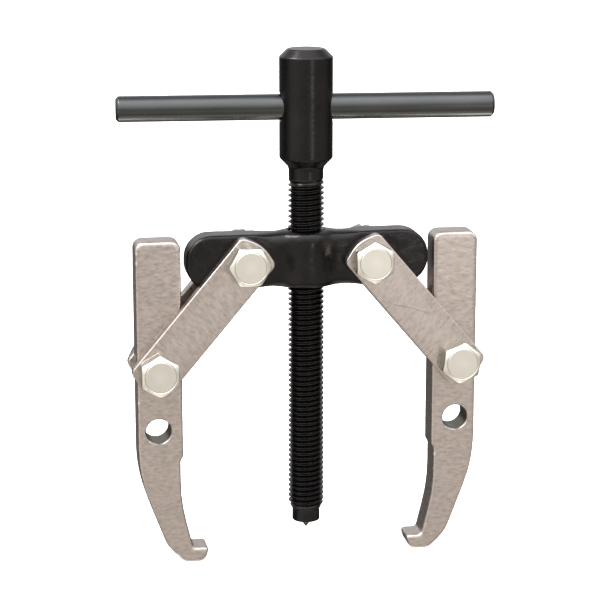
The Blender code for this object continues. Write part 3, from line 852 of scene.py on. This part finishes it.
def build_screw():
    at_yoke = Matrix.Translation(CENTRE)
    turned_by = at_yoke @ Matrix.Rotation(REST_TURN, 4, "Z")
    turned_black = black_oxide("black_turned", False)
    finish_piece(
        "threaded_screw", screw_mesh(), turned_black, "screw", "forcing_screw", turned_by
    )
    finish_piece("drawn_bar", bar_mesh(), dark_bar(), "screw", "tommy_bar", turned_by)
    shoulder = at_yoke @ Matrix.Translation((0, 0, POINT_TOP))
    finish_piece("stepped_point", point_mesh(), turned_black, "point", "centre_point", shoulder)


def build_linkage():
    zinc = bright_zinc()
    bolt, nut = bolt_mesh(), nut_mesh()
    washer = washer_mesh(slab("lock_washer_upper_left")[1])
    rough = satin_nickel("satin_forged", 0.0, True)
    for side, sign in SIDES.items():
        lean = sign * (math.pi / 2 - LINK_ANGLE)
        scratch = (UPPER[side] + SCRATCH_START, SCRATCH_LEAN, SCRATCH_LENGTH) if side == "right" else None
        pressed = satin_nickel(f"satin_pressed_{side}", lean, False, scratch)
        down_the_strap = Matrix.Rotation(-math.pi / 2 + sign * LINK_ANGLE, 4, "Z")
        link, jaw = f"link_{side}", f"jaw_{side}"
        for layer in ("front", "rear"):
            node = f"strap_{side}_{layer}"
            middle, thickness = slab(node)
            place = Matrix.Translation(UPPER[side] + Vector((0, middle, 0))) @ FACE_FRONT @ down_the_strap
            finish_piece(f"pressed_{node}", strap_mesh(thickness), pressed, link, node, place)
        jaw_place = Matrix.Translation(LOWER[side]) @ FACE_FRONT
        thickness = slab(jaw)[1]
        finish_piece(f"forged_{jaw}", jaw_mesh(side, thickness), rough, jaw, jaw, jaw_place)
        for level, centre in zip(LEVELS, (UPPER[side], LOWER[side])):
            at = f"{level}_{side}"
            stack = (
                ("hex_bolt", bolt, f"bolt_{at}", HEAD_HEIGHT, HEAD_TURNS[at] - 30),
                ("spring_washer", washer, f"lock_washer_{at}", 0, WASHER_TURNS[at]),
                ("hex_nut", nut, f"nut_{at}", 0, NUT_TURNS[at] - 30),
            )
            for kind, mesh, node, above, turn in stack:
                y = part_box(node)[0].y + above
                spin = Matrix.Rotation(math.radians(turn), 4, "Z")
                place = Matrix.Translation(centre + Vector((0, y, 0))) @ FACE_FRONT @ spin
                finish_piece(f"{kind}_{at}", mesh, zinc, link, node, place)


def build_yoke():
    forged_black = black_oxide("black_forged", True)
    place = Matrix.Translation(CENTRE)
    finish_piece("forged_yoke", yoke_mesh(), forged_black, "yoke", "yoke", place)


# Stage, light and camera


def aim(obj, place, target):
    """Links the object into the scene at a place, looking at a target."""
    obj.location = place
    obj.rotation_euler = (target - place).to_track_quat("-Z", "Y").to_euler()
    bpy.context.scene.collection.objects.link(obj)


def area_light(name, place, size, power):
    light = bpy.data.lights.new(name, "AREA")
    light.shape = "RECTANGLE"
    light.size = light.size_y = size
    light.energy = power
    aim(bpy.data.objects.new(name, light), Vector(place), LIT_PLACE)


def build_stage():
    floor_mesh = bpy.data.meshes.new("floor")
    shape = bmesh.new()
    bmesh.ops.create_grid(shape, x_segments=8, y_segments=8, size=FLOOR_REACH)
    shape.to_mesh(floor_mesh)
    shape.free()
    floor = helper("floor", floor_mesh, Matrix.Translation((0, 0, cad_bounds[0][2])))
    paper = Finish("paper", 0.0)
    speckle = paper.noise(4 * MM)
    colour = paper.mix(speckle, (0.80, 0.80, 0.80), (0.82, 0.82, 0.82))
    behind = paper.node("ShaderNodeSeparateXYZ", {0: paper.place}).outputs["Y"]
    glow = paper.spread(behind, *GLOW_FROM, 0.15, 0.55)
    paper.tree.links.new(glow, paper.shader.inputs["Emission Strength"])
    paper.shader.inputs["Emission Color"].default_value = (1.0, 1.0, 1.0, 1.0)
    roughness = paper.spread(speckle, 0, 1, 0.85, 0.95)
    floor_mesh.materials.append(paper.finish(colour, roughness, [(speckle, 0.01 * MM)]))
    floor.visible_glossy = False  # the steel shows the tent and not the paper


def build_light():
    """A light tent. Its strength goes by direction, and two lamps shape the highlights."""
    world = bpy.data.worlds.new("tent")
    bpy.context.scene.world = world
    world.use_nodes = True
    tree = world.node_tree
    background = tree.nodes["Background"]

    def ramp(value, low, high, to_low, to_high):
        return spread(tree, value, low, high, to_low, to_high)

    def combine(operation, a, b):
        return add_node(tree, "ShaderNodeMath", {0: a, 1: b}, operation=operation).outputs[0]

    direction = tree.nodes.new("ShaderNodeTexCoord").outputs["Generated"]
    x, y, z = add_node(tree, "ShaderNodeSeparateXYZ", {0: direction}).outputs
    ground = combine("SUBTRACT", ramp(z, -0.95, -0.45, 0.25, 1.0), ramp(z, -0.33, -0.15, 0.0, 0.26))
    front = combine("ADD", ground, ramp(z, 0.0, 0.9, 0.0, 3.2))
    from_left = combine("MULTIPLY", front, ramp(x, -0.8, -0.2, 1.4, 1.0))
    wall = ramp(z, 0.0, 0.16, 0.12, 0.88)  # dark below the horizon behind, where the table ends
    behind = combine("MULTIPLY", wall, ramp(x, -0.6, 0.0, 1.3, 1.0))
    sides = {0: ramp(y, -0.25, 0.25, 0.0, 1.0), 2: from_left, 3: behind}
    strength = add_node(tree, "ShaderNodeMix", sides, data_type="FLOAT").outputs[0]
    under = ramp(z, -0.98, -0.75, 1.7, 0.0)  # the table's own light, straight below
    tree.links.new(combine("ADD", strength, under), background.inputs["Strength"])
    tints = {0: ramp(z, -0.1, 0.5, 0.0, 1.0), 6: (*WARM, 1.0), 7: (*COOL, 1.0)}
    tint = add_node(tree, "ShaderNodeMix", tints, data_type="RGBA").outputs[2]
    tree.links.new(tint, background.inputs["Color"])
    for light in LIGHTS:
        area_light(*light)


def build_camera():
    camera = bpy.data.cameras.new("camera")
    camera.lens = CAMERA_LENS
    camera.sensor_width = CAMERA_SENSOR
    obj = bpy.data.objects.new("camera", camera)
    aim(obj, CAMERA_PLACE + CENTRE, CAMERA_TARGET + CENTRE)
    bpy.context.scene.camera = obj
    bpy.context.scene.view_settings.view_transform = "Standard"


build_camera()
build_yoke()
build_screw()
build_linkage()
build_stage()
build_light()
